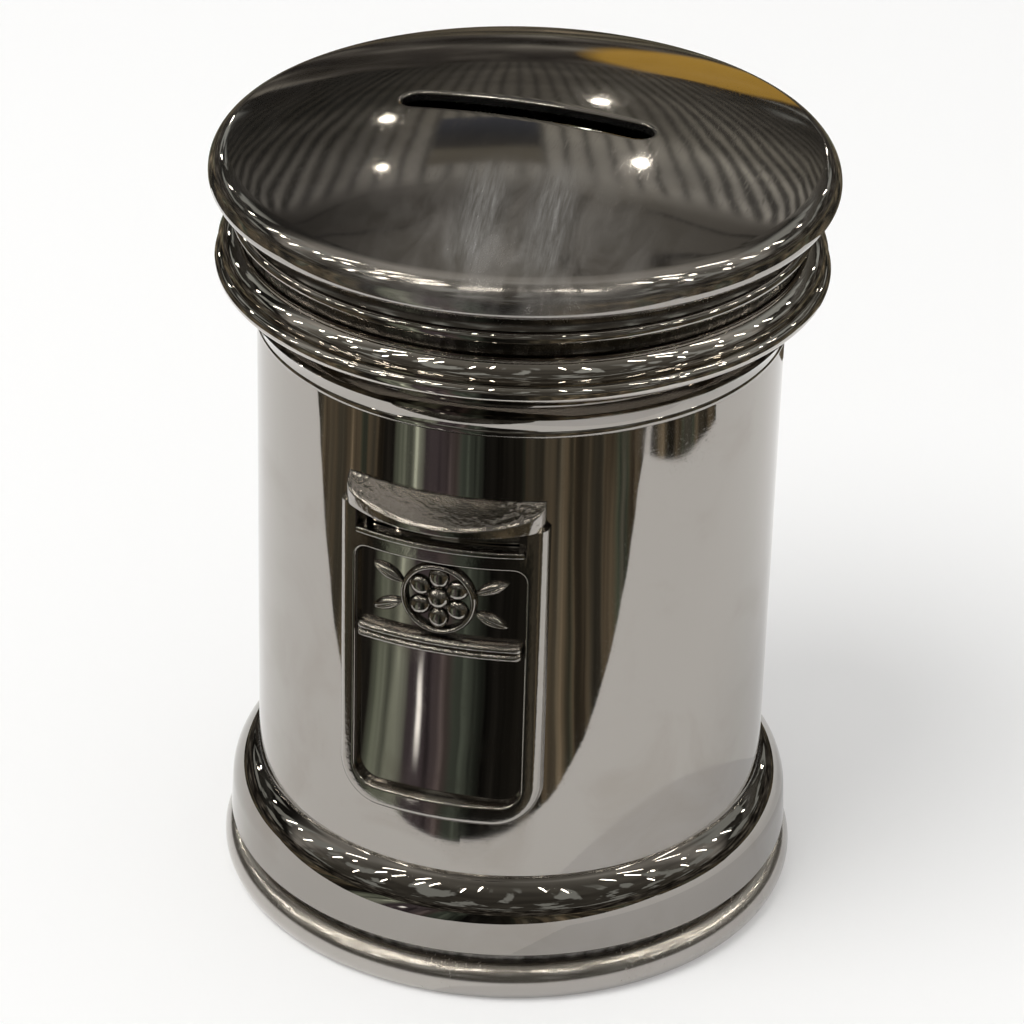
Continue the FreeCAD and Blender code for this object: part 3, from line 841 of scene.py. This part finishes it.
def makePlinth():
    data = plinth
    shoulder, size = data["shoulder"], data["shoulderRound"]
    outline = easedPoints([(data["seat"], data["bottom"]), (data["bandFoot"], data["bottom"]), shoulder],
                          [data["footRound"]], 10)
    lean = math.atan2(data["bandFoot"] - shoulder[0], shoulder[1] - data["bottom"])
    centre = (shoulder[0] - size * math.cos(lean), shoulder[1] - size * math.sin(lean))
    outline += arcPoints(centre, size, math.degrees(lean), data["shoulderEnd"], 28)[1:]
    outline += data["ledge"] + [(data["bore"], data["top"]), (data["bore"], data["top"] - data["lip"])]
    piece = turnedPiece("flaredPlinth", outline)
    # tone 0.87 paints the plinth's pewter darker: painted shade
    finish = polishedPewter("plinthPewter", 33.2, 33.32, gloss=0.015, haze=0.015, tone=0.87)
    finishPiece(piece, finish, "polished_pewter", "box", "plinth")


bodyTube = {"radius": 33.0, "bore": 31.8, "bottom": 3.8, "top": 96.9}


def makeBodyTube():
    radius, bore, low, high = (bodyTube[key] for key in ("radius", "bore", "bottom", "top"))
    piece = turnedPiece("bodyTube", [(bore, low), (radius, low), (radius, high), (bore, high)])
    finishPiece(piece, polishedPewter("bodyPewter", 32.2, 32.8), "polished_pewter", "box", "body_tube")


reededBand = {"radius": 33.35, "bore": 33.0, "bottom": 79.0, "strip": 1.0, "stripRound": 0.2, "reeds": 3,
              "reedHeight": 2.0, "reedDepth": 0.85, "reedHollow": 0.06, "tip": 0.07}


def makeReededBand():
    data = reededBand
    outer, low, tip = data["radius"], data["bottom"] + data["strip"], data["tip"]
    crest = outer + data["reedDepth"]
    outline = [(data["bore"], data["bottom"])]
    for step in range(11):
        swell = math.sin(math.pi * step / 10) ** 0.7
        outline.append((outer - data["stripRound"] * (1 - swell), data["bottom"] + data["strip"] * step / 10))
    for number in range(data["reeds"]):
        foot = low + number * data["reedHeight"]
        head = foot + data["reedHeight"]
        outline += bulgePoints((outer, foot), (crest, head - tip), -data["reedHollow"], 10)
        outline += [(crest - tip, head), (outer, head)]
    outline.append((data["bore"], low + data["reeds"] * data["reedHeight"]))
    piece = turnedPiece("reededBand", outline)
    finishPiece(piece, polishedPewter("reedPewter", 33.1, 33.25), "polished_pewter", "box", "reeded_band")


collar = {"beadCentre": (37.1, 87.1), "beadRound": 1.1, "shoulderCentre": (34.95, 88.4), "shoulderRound": 2.95,
          "shoulderFrom": 17.5, "bore": 33.0}


def makeCollar():
    outline = arcPoints(collar["beadCentre"], collar["beadRound"], -90, 90, 24)
    outline += arcPoints(collar["shoulderCentre"], collar["shoulderRound"], collar["shoulderFrom"], 90, 28)
    outline += [(collar["bore"], outline[-1][1]), (collar["bore"], outline[0][1])]
    piece = turnedPiece("bulgedCollar", outline)
    # tone 1.3 paints the collar's pewter lighter: painted light
    finish = polishedPewter("collarPewter", 34.4, 34.9, gloss=0.015, haze=0.015, tone=1.3)
    finishPiece(piece, finish, "polished_pewter", "box", "collar")


neckRing = {"bore": 33.0, "bottom": 91.35, "plain": 34.9, "beadBottom": 92.7, "beadRadius": 36.2, "beadHeight": 1.6,
            "head": (35.9, 96.9), "coveDepth": 0.6}


def makeNeckRing():
    data = neckRing
    half, head = data["beadHeight"] / 2, data["head"]
    outline = [(data["plain"], data["bottom"]), (data["plain"], data["beadBottom"])]
    outline += arcPoints((data["beadRadius"] - half, data["beadBottom"] + half), half, -90, 90, 14)
    start = outline[-1]
    for share in (step / 12 for step in range(1, 13)):
        hollow = data["coveDepth"] * math.sin(math.pi * share)
        outline.append((start[0] + (head[0] - start[0]) * share - hollow, start[1] + (head[1] - start[1]) * share))
    outline += [(data["bore"], head[1]), (data["bore"], data["bottom"])]
    piece = turnedPiece("neckRing", outline)
    finishPiece(piece, polishedPewter("neckPewter", 34.9, 35.5), "polished_pewter", "box", "neck_ring")


basePlate = {"hole": 16.48, "edge": 34.2, "bottom": 2.6, "top": 3.8, "roll": 0.35, "rollReach": 6.0,
             "lines": [(24.0, 25.2, 0.25), (31.6, 32.6, 0.2)], "lineSlope": 0.3}


def makeBasePlate():
    data = basePlate
    roll, low, high, slope = data["roll"], data["bottom"], data["top"], data["lineSlope"]
    hole, edge = data["hole"], data["edge"]
    around = hole + data["rollReach"]
    outline = easedPoints([(around, high), (hole, high), (hole, low), (around, low)], [roll, roll], 6)
    for start, end, depth in data["lines"]:  # lines turned into the underside
        outline += [(start, low), (start + slope, low + depth), (end - slope, low + depth), (end, low)]
    outline += [(edge, low), (edge, high)]
    piece = turnedPiece("basePlate", outline)
    finish = polishedPewter("basePewter", 16.2, 16.9, 9.0, gloss=0.2, haze=0.2, lines=1.0, wave=0.08)
    finishPiece(piece, finish, "polished_pewter", "box", "base_plate")


makeFootRing()
makePlinth()
makeBodyTube()
makeReededBand()
makeCollar()
makeNeckRing()
makeBasePlate()
print("turned pieces made")


# cap: rings run from the slot's wall over the dome and the rolled rim and back inside

cap = {"domeRadius": 143.36, "domeCentre": -36.66, "rimAngle": 14.72, "rimRadius": 38.9, "rimHeight": 98.8,
       "upperRound": 3.3, "lowerRound": 1.9, "seat": 96.9, "bore": 30.52, "sheet": 1.2,
       "slotLength": 32.0, "slotWidth": 4.6, "slotRound": 0.4, "fanRadius": 22.0, "points": 288}
capTurns = [math.tau * number / cap["points"] for number in range(cap["points"])]


def domeHeight(reach, drop):
    return cap["domeCentre"] + math.sqrt((cap["domeRadius"] - drop) ** 2 - reach * reach)


def slotPoint(number, grow):  # a place on the slot's outline, pushed outwards, from the middle of the right end
    radius = cap["slotWidth"] / 2
    half = cap["slotLength"] / 2 - radius
    endArc = math.pi * radius
    whole = 4 * half + 2 * endArc
    run = (number / cap["points"] * whole + endArc / 2) % whole
    if run < endArc:
        turn = run / radius - math.pi / 2
        return half + (radius + grow) * math.cos(turn), (radius + grow) * math.sin(turn)
    if run < endArc + 2 * half:
        return half - (run - endArc), radius + grow
    if run < 2 * endArc + 2 * half:
        turn = (run - endArc - 2 * half) / radius + math.pi / 2
        return -half + (radius + grow) * math.cos(turn), (radius + grow) * math.sin(turn)
    return -half + (run - 2 * endArc - 2 * half), -radius - grow


def fanRing(share, grow, sheetDrop, edgeDrop=0.0):  # between the slot's outline and a circle, on the dome
    ring = []
    for number, turn in enumerate(capTurns):
        x, y = slotPoint(number, grow)
        x += (cap["fanRadius"] * math.cos(turn) - x) * share
        y += (cap["fanRadius"] * math.sin(turn) - y) * share
        ring.append((x, y, domeHeight(math.hypot(x, y), sheetDrop) - edgeDrop))
    return ring


def roundRing(radius, height):
    return [(radius * math.cos(turn), radius * math.sin(turn), height) for turn in capTurns]


def makeCap():
    edge, sheet, dome = cap["slotRound"], cap["sheet"], cap["domeRadius"]
    upperRound, lowerRound, rimStart = cap["upperRound"], cap["lowerRound"], 90 - cap["rimAngle"]
    rings = [fanRing(0.0, 0.0, sheet), fanRing(0.0, 0.0, 0.0, edge)]
    rings += [fanRing(0.0, edge * (1 - cosine), 0.0, edge * (1 - sine)) for sine, cosine in quarterSteps(6, 1)]
    rings += [fanRing((step / 14) ** 1.2, edge, 0.0) for step in range(1, 15)]
    centre = (0.0, cap["domeCentre"])
    fanEnd = 90 - math.degrees(math.asin(cap["fanRadius"] / dome))
    upper = (cap["rimRadius"] - upperRound, cap["rimHeight"])
    lower = (cap["rimRadius"] - lowerRound, cap["rimHeight"])
    outline = arcPoints(centre, dome, fanEnd, rimStart, 8)[1:]
    outline += arcPoints(upper, upperRound, rimStart, 0, 18)[1:]
    outline += arcPoints(lower, lowerRound, 0, -90, 12)[1:]
    outline += [(cap["bore"], cap["seat"]), (cap["bore"], cap["seat"] + sheet)]
    outline += arcPoints(lower, lowerRound - sheet, -90, 0, 5)
    outline += arcPoints(upper, upperRound - sheet, 0, rimStart, 8)[1:]
    outline += arcPoints(centre, dome - sheet, rimStart, fanEnd, 5)[1:-1]
    rings += [roundRing(radius, height) for radius, height in outline]
    rings += [fanRing(1 - step / 6, 0.0, sheet) for step in range(6)]
    piece = ringPiece("domedCap", rings)
    finishPiece(piece, capPewter(), "polished_pewter", "box", "cap")


makeCap()
print("cap made")


# letter-box front

panelFrame = {"half": 13.0, "bottom": 24.8, "top": 67.1, "lowRound": 5.6, "face": 34.9, "body": 33.0,
              "windowHalf": 10.8, "windowBottom": 27.7, "windowTop": 61.6, "windowLow": 2.6, "windowHigh": 1.6,
              "outerRound": 0.85, "innerRound": 0.4, "mouthBottom": 63.5, "overTop": 3.0, "overRound": 2.0,
              "mouthDepth": 12.0, "mouthHeight": 6.0, "mouthMiddle": -35.9}
backPlate = {"front": 33.5, "flattening": 9.0, "half": 10.8, "bottom": 27.7, "top": 67.1, "thickness": 0.45,
             "apertureHalf": 9.7, "apertureBottom": 64.3}


def plateFront(relief, across):
    curve = backPlate["front"] + backPlate["flattening"] + relief
    return backPlate["flattening"] - math.sqrt(curve * curve - across * across)


def roundedLoop(half, bottom, top, low, high, arcSteps=10, sideSteps=24):  # always as many points
    centres = [(half - low, bottom + low, low, -90), (half - high, top - high, high, 0),
               (-half + high, top - high, high, 90), (-half + low, bottom + low, low, 180)]
    corners = [arcPoints((x, z), radius, start, start + 90, arcSteps) for x, z, radius, start in centres]
    loop = []
    for corner, following in zip(corners, corners[1:] + corners[:1]):
        loop += corner
        end, start = corner[-1], following[0]
        for share in (step / sideSteps for step in range(1, sideSteps)):
            loop.append((end[0] + (start[0] - end[0]) * share, end[1] + (start[1] - end[1]) * share))
    return loop


def makePanelFrame():
    data = panelFrame
    face, inner, outer = data["face"], data["innerRound"], data["outerRound"]

    def windowRing(grow, radius):
        loop = roundedLoop(data["windowHalf"] + grow, data["windowBottom"] - grow, data["windowTop"] + grow,
                           data["windowLow"] + grow, data["windowHigh"] + grow)
        return [(x, bodyFront(radius, x), z) for x, z in loop]

    def outerRing(inset, radius):
        loop = roundedLoop(data["half"] - inset, data["bottom"] + inset, data["top"] + data["overTop"] - inset,
                           data["lowRound"] - inset, data["overRound"] - inset)
        return [(x, bodyFront(radius, x), z) for x, z in loop]

    rings = [windowRing(0.0, data["body"]), windowRing(0.0, face - inner)]
    rings += [windowRing(inner * (1 - cosine), face - inner * (1 - sine)) for sine, cosine in quarterSteps(6, 1)]
    rings += [outerRing(outer * (1 - sine), face - outer * (1 - cosine)) for sine, cosine in quarterSteps(12)]
    rings.append(outerRing(0.0, data["body"]))
    piece = ringPiece("panelFrame", rings, True, 40)
    editAll()
    bpy.ops.mesh.bisect(plane_co=(0, 0, data["top"] * mm), plane_no=(0, 0, 1), use_fill=True, clear_outer=True)
    leaveEdit()
    size = (2 * data["windowHalf"], data["mouthDepth"], data["mouthHeight"])
    middle = (0, data["mouthMiddle"], data["mouthBottom"] + data["mouthHeight"] / 2)
    mouth = boxPiece("mouthCutter", size, middle)  # the mouth over the top rail
    applyModifier(piece, "BOOLEAN", object=mouth, operation="DIFFERENCE", solver="EXACT")
    bpy.data.objects.remove(mouth)
    makeActive(piece)
    smoothTo(40)
    finish = castPewter("framePewter", 0.02, 0.003, 0.06, 33.4, 34.2)
    finishPiece(piece, finish, "cast_pewter", "box", "panel_frame")


def makeBackPlate():
    data = backPlate
    half, low, high, sides, sill = (data[key] for key in ("half", "bottom", "top", "apertureHalf", "apertureBottom"))
    deselectAll()
    bpy.ops.mesh.primitive_grid_add(x_subdivisions=56, y_subdivisions=42, size=mm)
    piece = namePiece("backPlate")
    reshape(piece, lambda x, y, z: (x * 2 * half, plateFront(0, x * 2 * half), low + (y + 0.5) * (high - low)))
    bpy.ops.mesh.select_all(action="SELECT")
    bpy.ops.mesh.normals_make_consistent(inside=False)
    for place, facing in (((-sides, 0, 0), (1, 0, 0)), ((sides, 0, 0), (1, 0, 0)), ((0, 0, sill), (0, 0, 1))):
        bpy.ops.mesh.select_all(action="SELECT")
        bpy.ops.mesh.bisect(plane_co=Vector(place) * mm, plane_no=facing)
    mesh = bmesh.from_edit_mesh(piece.data)
    for face in mesh.faces:
        middle = face.calc_center_median() / mm
        face.select_set(abs(middle.x) < sides and middle.z > sill)
    bpy.ops.mesh.delete(type="FACE")
    leaveEdit()
    if piece.data.polygons[0].normal.y > 0:
        piece.data.flip_normals()
    applyModifier(piece, "SOLIDIFY", thickness=data["thickness"] * mm, offset=-1)
    smoothTo(35)
    finish = polishedPewter("platePewter", 32.0, 32.4, 8.0, gloss=0.05, haze=0.06, wave=0.08)
    finishPiece(piece, finish, "polished_pewter", "box", "back_plate")


crossBar = {"half": 10.6, "bottom": 48.9, "beads": 2, "beadHeight": 1.1, "relief": 1.4, "root": 0.85, "endRound": 0.7,
            "back": -0.1}
apertureSill = {"half": 10.6, "bottom": 63.5, "height": 0.8, "front": 35.2, "edge": 0.28, "endRound": 0.5,
                "back": -1.6}


def barPiece(name, section, half, endRound, front, steps=60):  # a section drawn across, with rounded ends
    middle = sum(point[1] for point in section) / len(section)
    ends = [(-half + endRound * (1 - cosine), max(0.12, sine)) for sine, cosine in quarterSteps(5)[:-1]]
    straight = 2 * half - 2 * endRound
    places = ends + [(-half + endRound + straight * step / steps, 1.0) for step in range(steps + 1)]
    places += [(-x, share) for x, share in reversed(ends)]
    rings = []
    for x, share in places:
        flatter = 0.55 + 0.45 * share
        rings.append([(x, front(depth * share, x), middle + (z - middle) * flatter) for depth, z in section])
    return ringPiece(name, rings, False, 40)


def makeCrossBar():
    data = crossBar
    low, high, root = data["bottom"], data["beadHeight"], data["root"]
    section = [(data["back"], low)]
    for number in range(data["beads"]):
        for share in (step / 8 for step in range(9)):
            swell = math.sin(math.pi * share) ** 0.8
            section.append((root + (data["relief"] - root) * swell, low + high * (number + share)))
    section.append((data["back"], low + data["beads"] * high))
    piece = barPiece("crossBar", section, data["half"], data["endRound"], plateFront)
    finishPiece(piece, castPewter("barPewter", 0.14, 0.008, 0.07, 33.6, 34.2), "cast_pewter", "box", "cross_bar")


def makeApertureSill():
    data = apertureSill
    low, high, back, edge = data["bottom"], data["bottom"] + data["height"], data["back"], data["edge"]
    section = easedPoints([(back, low), (0.0, low), (0.0, high), (back, high)], [edge, edge], 6)
    piece = barPiece("apertureSill", section, data["half"], data["endRound"],
                     lambda depth, x: bodyFront(data["front"] + depth, x))
    finish = castPewter("sillPewter", 0.1, 0.008, 0.07, 33.4, 34.6)
    finishPiece(piece, finish, "cast_pewter", "box", "aperture_sill")


hood = {"half": 12.4, "bottom": 67.1, "lipTop": 68.0, "top": 70.4, "reach": 37.4, "body": 33.0, "planRadius": 18.47,
        "planCentre": -18.93, "lipRound": 0.3, "lipEase": 0.06, "wall": 0.8, "roofShare": 0.6, "endRound": 1.3,
        "clear": 0.02, "sections": 140, "lumpFrom": 6.5, "lumpRun": 3.5, "lumpSize": 0.9, "lumpHeight": 0.24}


def roofHeight(x, y):
    share = (math.hypot(x, y) - hood["body"]) / (hood["reach"] - hood["body"])
    return hood["top"] - share * (hood["top"] - hood["lipTop"])


def hoodRing(x):  # a section from back to front: roof, lip and hollow underside
    low, wall, lipRound = hood["bottom"], hood["wall"], hood["lipRound"]
    back = bodyFront(hood["body"], x) + hood["clear"]
    turned = max(0.0, (abs(x) - hood["half"]) / hood["endRound"] + 1)
    lip = hood["planCentre"] - math.sqrt(hood["planRadius"] ** 2 - x * x)
    lip += hood["endRound"] * (1 - math.sqrt(max(0.0, 1 - turned * turned)))
    ring = []
    for share in (step / 16 for step in range(17)):
        y = back + (lip + lipRound - back) * share
        ring.append((x, y, roofHeight(x, y)))
    edge = roofHeight(x, lip)
    for sine, cosine in quarterSteps(5, 1):
        ring.append((x, lip + lipRound * (1 - sine), edge - lipRound * (1 - cosine)))
    ring += [(x, lip, low + (edge - lipRound - low) * share) for share in (0.75, 0.5, 0.25)]
    ring += [(x, lip + hood["lipEase"], low), (x, lip + wall, low)]
    hollow = max(0.05, edge - low - wall * hood["roofShare"])
    inside = low if abs(x) > hood["half"] - wall else low + hollow
    ring += [(x, lip + wall, inside), (x, back, inside), (x, back, (inside + hood["top"]) / 2)]
    return ring


def roughened(ring):  # the rough casting at both ends of the roof
    for number, (x, y, z) in enumerate(ring[:25]):
        ends = min(1.0, max(0.0, (abs(x) - hood["lumpFrom"]) / hood["lumpRun"]))
        lump = noise.fractal(Vector((x, y, z)) * hood["lumpSize"], 1.0, 2.0, 3) * hood["lumpHeight"] * ends
        away = min(1.0, number / 3)
        ring[number] = (x, y + max(0.0, lump) * 0.4 * away, z - abs(lump) * away)
    return ring


def makeHood():
    half, count = hood["half"], hood["sections"]
    rings = [roughened(hoodRing(-half + 2 * half * step / count)) for step in range(count + 1)]
    piece = ringPiece("castHood", rings, False, 50)
    finishPiece(piece, castPewter("hoodPewter", 0.04, 0.005, 0.08, 33.0, 33.3), "cast_pewter", "box", "hood")


emblem = {"middle": 56.35, "ring": 4.45, "ringThick": 0.42, "relief": 0.9, "petals": 6, "petalOrbit": 2.767,
          "petalRadius": 1.483, "petalWidth": 0.9, "boss": 1.45, "bossRise": 1.3, "leafLength": 4.6, "leafWidth": 1.7,
          "leafRoot": 16.0, "leafLean": 24.0, "leafStart": 4.65, "sunk": -0.15}


def shapeOnPlate(piece, squash):  # flat work laid on the curved plate: its own y is the relief
    reshape(piece, lambda x, relief, z: (x, plateFront(max(emblem["sunk"], relief * squash), x), z))
    bpy.ops.mesh.select_all(action="SELECT")
    bpy.ops.mesh.normals_make_consistent(inside=False)
    leaveEdit()
    bpy.ops.object.shade_smooth()


def domedShape(name, across, up, halfLength, halfWidth, rise, angle, pointed):
    sine, cosine = math.sin(math.radians(angle)), math.cos(math.radians(angle))

    def placeOf(a, b, c):
        taper = (1 - abs(a)) ** 0.35 * 1.1 if pointed and abs(a) < 1 else 1.0
        along, wide = a * halfLength, c * halfWidth * min(1.0, taper)
        vein = 1.0 - 0.32 * math.exp(-(c / 0.16) ** 2) if pointed else 1.0  # a midrib pressed into each leaf
        return across + along * cosine - wide * sine, b * rise * vein, up + along * sine + wide * cosine

    deselectAll()
    bpy.ops.mesh.primitive_uv_sphere_add(segments=40, ring_count=24, radius=mm)
    piece = namePiece(name)
    reshape(piece, placeOf)
    leaveEdit()
    shapeOnPlate(piece, 1.0)
    return piece


def makeEmblem():
    data = emblem
    middle, relief, half = data["middle"], data["relief"], data["leafLength"] / 2
    deselectAll()
    bpy.ops.mesh.primitive_torus_add(major_radius=data["ring"] * mm, minor_radius=data["ringThick"] * mm,
                                     major_segments=120, minor_segments=20, rotation=(math.pi / 2, 0, 0))
    ring = namePiece("rosette")
    bpy.ops.object.transform_apply(rotation=True)
    editAll()
    bpy.ops.transform.translate(value=(0, 0, middle * mm))
    leaveEdit()
    shapeOnPlate(ring, relief / data["ringThick"])
    made = [ring]
    for number in range(data["petals"]):
        turn = math.tau * number / data["petals"]
        x, z = data["petalOrbit"] * math.sin(turn), middle + data["petalOrbit"] * math.cos(turn)
        made.append(domedShape("petal", x, z, data["petalRadius"], data["petalRadius"] * data["petalWidth"], relief,
                               90 - math.degrees(turn), False))
    made.append(domedShape("boss", 0.0, middle, data["boss"], data["boss"], data["bossRise"], 0, False))
    for heading in (0, 180):
        for lift in (-1, 1):
            root = math.radians(heading + lift * data["leafRoot"])
            lean = heading + lift * data["leafLean"]
            x = data["leafStart"] * math.cos(root) + half * math.cos(math.radians(lean))
            z = middle + data["leafStart"] * math.sin(root) + half * math.sin(math.radians(lean))
            made.append(domedShape("leaf", x, z, half, data["leafWidth"] / 2, relief, lean, True))
    piece = joinPieces(made)
    finishPiece(piece, castPewter("emblemPewter", 0.06, 0.005, 0.05, 33.55, 34.1), "cast_pewter", "box", "emblem")


makePanelFrame()
makeBackPlate()
makeCrossBar()
makeApertureSill()
makeHood()
makeEmblem()
print("front made")


# bung: a cupped stopper with a web to pull it by

bung = {"radius": 16.4, "tip": 15.8, "bottom": 1.2, "flange": 19.2, "flangeTop": 2.6, "plateTop": 3.8, "top": 10.6,
        "cup": 13.6, "cupTop": 8.4, "rounds": [0.8, 0.35, 0.35, 0.35, 0.05, 0.3, 0.6],
        "web": 3.2, "webSunk": (0.8, 0.6), "webRound": 0.5}


def makeBung():
    data = bung
    radius, low, cup, flange = data["radius"], data["bottom"], data["cup"], data["flange"]
    corners = [(0.0, data["cupTop"]), (cup, data["cupTop"]), (cup, low), (flange, low), (flange, data["flangeTop"]),
               (radius, data["flangeTop"]), (radius, data["plateTop"]), (data["tip"], data["top"]),
               (0.0, data["top"])]
    piece = turnedPiece("rubberBung", easedPoints(corners, data["rounds"], 6), 160)
    aside, above = data["webSunk"]  # the web runs on into the cup's wall and roof
    height = data["cupTop"] + above - low
    web = boxPiece("web", (2 * (cup + aside), data["web"], height), (0, 0, low + height / 2))
    applyModifier(web, "BEVEL", width=data["webRound"] * mm, segments=5)
    smoothTo(40)
    piece = joinPieces([piece, web])
    finishPiece(piece, bungRubber(), "bung_rubber", "bung", "bung")


makeBung()
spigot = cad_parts["cap_spigot"]  # hidden inside the neck, kept as it is
spigot.data.materials.clear()
spigot.data.materials.append(polishedPewter("spigotPewter", 29.0, 29.5, 9.0, gloss=0.2, haze=0.15))
print("bung made")
